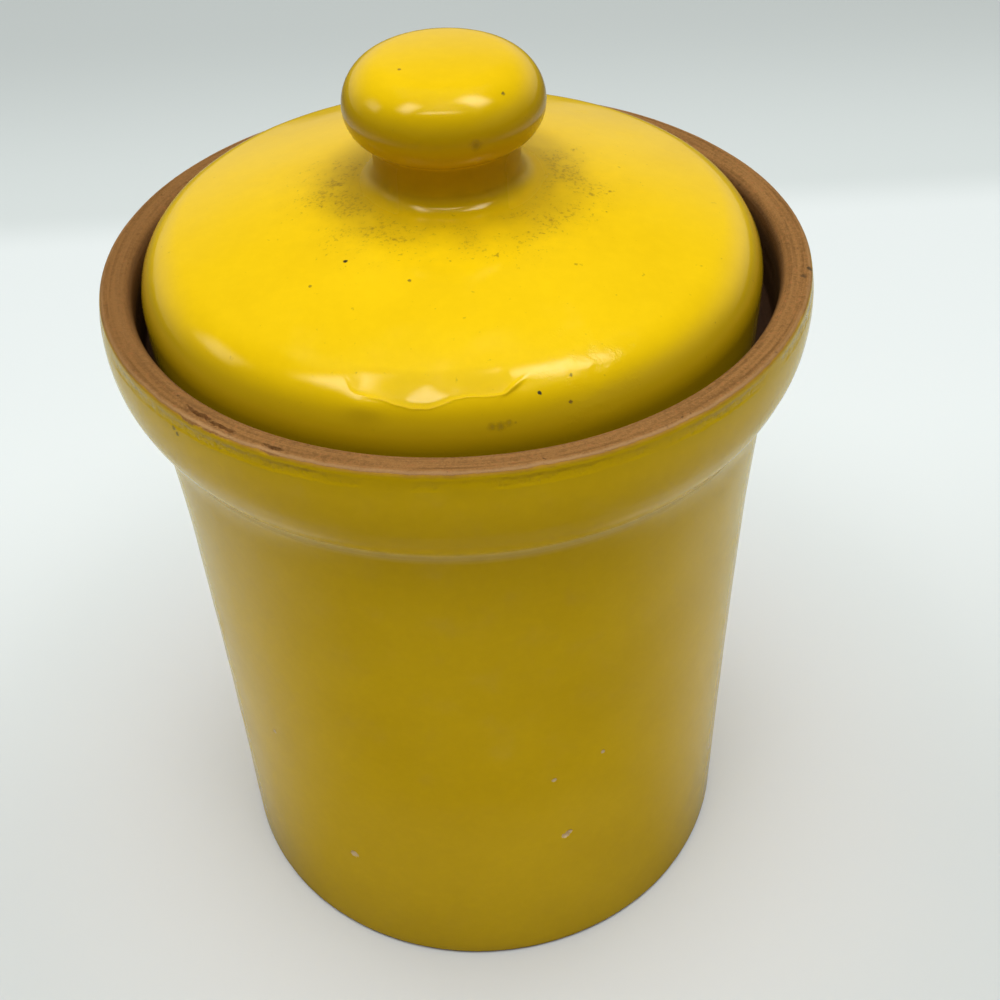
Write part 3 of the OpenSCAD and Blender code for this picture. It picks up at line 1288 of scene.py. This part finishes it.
@dataclass(frozen=True)
class Lamp:
    """A soft lamp. Places and sizes in metres, power in watts."""

    name: str
    place: Place
    size: Point
    power: float
    aim: Place = (0.0, -0.02, 0.18)

    def hang(self) -> bpy.types.Object:
        """Hangs the lamp, which the camera itself doesn't see.

        Returns:
            The lamp.
        """
        data = bpy.data.lights.new(self.name, "AREA")
        data.shape = "RECTANGLE"
        data.size, data.size_y = self.size
        data.energy = self.power
        lamp = bpy.data.objects.new(self.name, data)
        facing = (Vector(self.aim) - Vector(self.place)).to_track_quat("-Z", "Y").to_matrix().to_4x4()
        lamp.matrix_world = Matrix.Translation(self.place) @ facing
        lamp.visible_camera = False
        bpy.context.scene.collection.objects.link(lamp)
        return lamp


OVERHEAD = Lamp("overhead", (0.0, -0.16, 2.4), (2.4, 2.4), 80.0, (0.0, 0.0, 0.15))

CARDS = (
    Lamp("front_card", (-0.03, -0.222, 0.49), (0.32, 0.035), 0.26, (-0.02, -0.03, 0.18)),
    Lamp("right_card", (0.135, -0.08, 0.49), (0.15, 0.24), 0.72, (0.02, -0.02, 0.18)),
    Lamp("left_card", (-0.185, -0.125, 0.49), (0.13, 0.20), 0.42),
    Lamp("far_card", (-0.85, 0.08, 0.62), (0.42, 0.34), 0.8),
)


@dataclass
class Studio:
    """Floor, light and camera. Sizes in metres, angles in degrees."""

    eye: Place = (0.0, -0.2414, 0.3190)
    pitch: float = 42.0673
    yaw: float = 1.791
    roll: float = -1.9969
    lens: float = 46.213
    floor_size: float = 12.0
    floor_near: Colour = (0.65, 0.685, 0.675)
    floor_mid: Colour = (0.82, 0.875, 0.865)
    backdrop_low: Colour = (0.70, 0.755, 0.74)
    backdrop_high: Colour = (0.565, 0.61, 0.595)
    floor_bounce: Colour = (0.86, 0.825, 0.785)
    floor_mirrored: Colour = (1.0, 0.97, 0.80)
    bounce_reach: float = 0.55
    fold: float = 0.325
    sky_light: float = 0.02
    sky_shown: Colour = (0.66, 0.70, 0.69)
    room_low: float = 0.38
    room_high: float = 0.06
    room_front: float = 0.15
    side_glow: float = 0.14

    def build(self) -> None:
        """Sets the stage."""
        self.lay_floor()
        self.hang_lamps()
        self.light_room()
        self.place_camera()
        bpy.context.scene.view_settings.view_transform = "Standard"

    @staticmethod
    def seen(g: Graph) -> Socket:
        """1 for a ray from the camera, a reflection or glass, and 0 for one that carries light."""
        rays = g.node("ShaderNodeLightPath").outputs
        return g.most(*(rays[f"Is {kind} Ray"] for kind in ("Camera", "Glossy", "Transmission")))

    def lay_floor(self) -> None:
        """Lays a plain pale floor."""
        bm = bmesh.new()
        bmesh.ops.create_grid(bm, x_segments=2, y_segments=2, size=self.floor_size / 2.0)
        mesh = bpy.data.meshes.new("floor")
        bm.to_mesh(mesh)
        bm.free()
        mesh.materials.append(self.floor_paper())
        floor = bpy.data.objects.new("floor", mesh)
        bpy.context.scene.collection.objects.link(floor)

    def floor_paper(self) -> bpy.types.Material:
        """Makes the floor's paper, which the camera, reflections and light each see in a tone of its own.

        Returns:
            The material.
        """
        material = bpy.data.materials.new("floor_paper")
        material.use_nodes = True
        g = Graph(material.node_tree)
        shader = material.node_tree.nodes["Principled BSDF"]
        rays = g.node("ShaderNodeLightPath").outputs
        place = g.node("ShaderNodeTexCoord").outputs["Object"]
        parts = g.node("ShaderNodeSeparateXYZ")
        g.feed(parts.inputs["Vector"], place)
        across, back, away = parts.outputs["X"], parts.outputs["Y"], g.vector("LENGTH", place)
        black = (0.0, 0.0, 0.0)
        # To the camera: painted light, paler behind the canister, then a painted backdrop that starts at a
        # soft fold and darkens further back
        shown = g.mix(g.ease(back, -0.05, 0.16), self.floor_near, self.floor_mid)
        backdrop = g.mix(g.ease(back, self.fold, self.fold + 0.25), self.backdrop_low, self.backdrop_high)
        shown = g.mix(g.ease(back, self.fold - 0.02, self.fold + 0.02), shown, backdrop)
        # Painted light round the canister's foot, which lifts its shadow on the floor
        shown = g.mix(g.fade(away, 0.08, 0.16, 0.4), shown, (1.0, 1.0, 1.0))
        # In reflections: dark in front and pale at the sides
        ahead = g.ease(g.math("DIVIDE", back, away), -0.9, 0.0, 0.06, 0.8)
        fade = g.ease(away, self.bounce_reach - 0.10, self.bounce_reach + 0.25, 1.0, 0.2)
        share = g.most(g.times(ahead, fade), g.fade(away, 0.10, 0.13, 0.17))
        mirrored = g.mix(share, black, g.vector("MULTIPLY", shown, self.floor_mirrored))
        # To the light that it throws back: stronger beside the canister, and less close up and far out
        near = g.ease(away, self.bounce_reach - 0.15, self.bounce_reach + 0.15, 1.0, 0.1)
        close = g.ease(away, 0.07, 0.17, 0.55, 1.0)
        beside = g.ease(g.math("ABSOLUTE", g.math("DIVIDE", across, away)), 0.3, 0.9, 0.8, 1.0)
        strength = g.times(near, close, beside)
        tone = g.mix(rays["Is Glossy Ray"], g.mix(strength, black, self.floor_bounce), mirrored)
        # Far out, the camera sees it fade into the surroundings
        far = g.times(rays["Is Camera Ray"], g.ease(away, 0.75, 1.50))
        tone = g.mix(rays["Is Camera Ray"], tone, shown)
        g.feed(shader.inputs["Base Color"], g.mix(far, tone, black))
        g.feed(shader.inputs["Emission Color"], self.sky_shown)
        g.feed(shader.inputs["Emission Strength"], far)
        shader.inputs["Roughness"].default_value = 0.7
        shader.inputs["Specular IOR Level"].default_value = 0.2
        return material

    def hang_lamps(self) -> None:
        """Hangs a large soft lamp overhead, and pale cards that are seen only in reflections."""
        OVERHEAD.hang().visible_glossy = False
        for one in CARDS:
            card = one.hang()
            card.visible_diffuse = False
            self.soften(card.data)

    @staticmethod
    def soften(light: bpy.types.Light) -> None:
        """Fades a lamp toward its edges.

        Args:
            light: The lamp's data.
        """
        light.use_nodes = True
        g = Graph(light.node_tree)
        parts = g.node("ShaderNodeSeparateXYZ")
        g.feed(parts.inputs["Vector"], g.node("ShaderNodeNewGeometry").outputs["Parametric"])
        faded = g.times(*(g.fade(g.apart(parts.outputs[axis], 0.5), 0.12, 0.5) for axis in "XY"))
        g.feed(light.node_tree.nodes["Emission"].inputs["Strength"], faded)

    def light_room(self) -> None:
        """Lights the surroundings faintly, and shows a pale room with a dark front in reflections."""
        world = bpy.data.worlds.new("surroundings")
        world.use_nodes = True
        bpy.context.scene.world = world
        g = Graph(world.node_tree)
        parts = g.node("ShaderNodeSeparateXYZ")
        g.feed(parts.inputs["Vector"], g.node("ShaderNodeTexCoord").outputs["Generated"])
        x, y, z = (parts.outputs[axis] for axis in "XYZ")
        height = g.ease(z, 0.15, 0.60, self.room_low, self.room_high)
        around = g.times(g.ease(y, 0.10, 0.70, self.room_front, 1.0), height)
        glow = g.fade(z, 0.30, 0.70, self.side_glow)
        side = g.times(g.ease(x, 0.35, 0.95), g.ease(z, -0.05, 0.30), glow)
        light, room, shown = (g.node("ShaderNodeBackground") for _ in range(3))
        g.feed(light.inputs["Strength"], self.sky_light)
        g.feed(room.inputs["Strength"], g.plus(around, side))
        g.feed(shown.inputs["Color"], self.sky_shown)
        for one in (light, room):
            g.feed(one.inputs["Color"], (1.0, 1.0, 1.0))
        mirrored = g.node("ShaderNodeMixShader")
        g.feed(mirrored.inputs[0], self.seen(g))
        g.feed(mirrored.inputs[1], light.outputs[0])
        g.feed(mirrored.inputs[2], room.outputs[0])
        mixed = g.node("ShaderNodeMixShader")
        g.feed(mixed.inputs[0], g.node("ShaderNodeLightPath").outputs["Is Camera Ray"])
        g.feed(mixed.inputs[1], mirrored.outputs[0])
        g.feed(mixed.inputs[2], shown.outputs[0])
        g.feed(world.node_tree.nodes["World Output"].inputs["Surface"], mixed.outputs[0])

    def place_camera(self) -> None:
        """Places the camera where the photograph was taken from."""
        data = bpy.data.cameras.new("camera")
        data.lens = self.lens
        data.clip_start = 0.01
        camera = bpy.data.objects.new("camera", data)
        turn = Matrix.Rotation(math.radians(-self.yaw), 4, "Z")
        tilt = Matrix.Rotation(math.radians(90.0 - self.pitch), 4, "X")
        roll = Matrix.Rotation(math.radians(self.roll), 4, "Z")
        camera.matrix_world = Matrix.Translation(self.eye) @ turn @ tilt @ roll
        bpy.context.scene.collection.objects.link(camera)
        bpy.context.scene.camera = camera


def main() -> None:
    """Builds the canister and its stage."""
    logging.basicConfig(level=logging.INFO, format="%(name)s: %(message)s")
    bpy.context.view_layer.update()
    effects = Effects(GlazeFinish(), ClayFinish())
    jar = Jar(
        "glazed_jar", "jar", ("jar",),
        chips=JAR_CHIPS, marks=JAR_MARKS, breaks=RIM_BREAKS, clay_marks=CLAY_MARKS,
    )
    lid = Lid(
        "glazed_lid", "lid", ("lid", "lid_knob"),
        marks=LID_MARKS, radius=jar.gallery_r - LID_GAP, seat_z=jar.ledge_z,
    )
    for piece in (jar, lid):
        piece.build(effects)
    Studio().build()


if __name__ == "__main__":
    main()
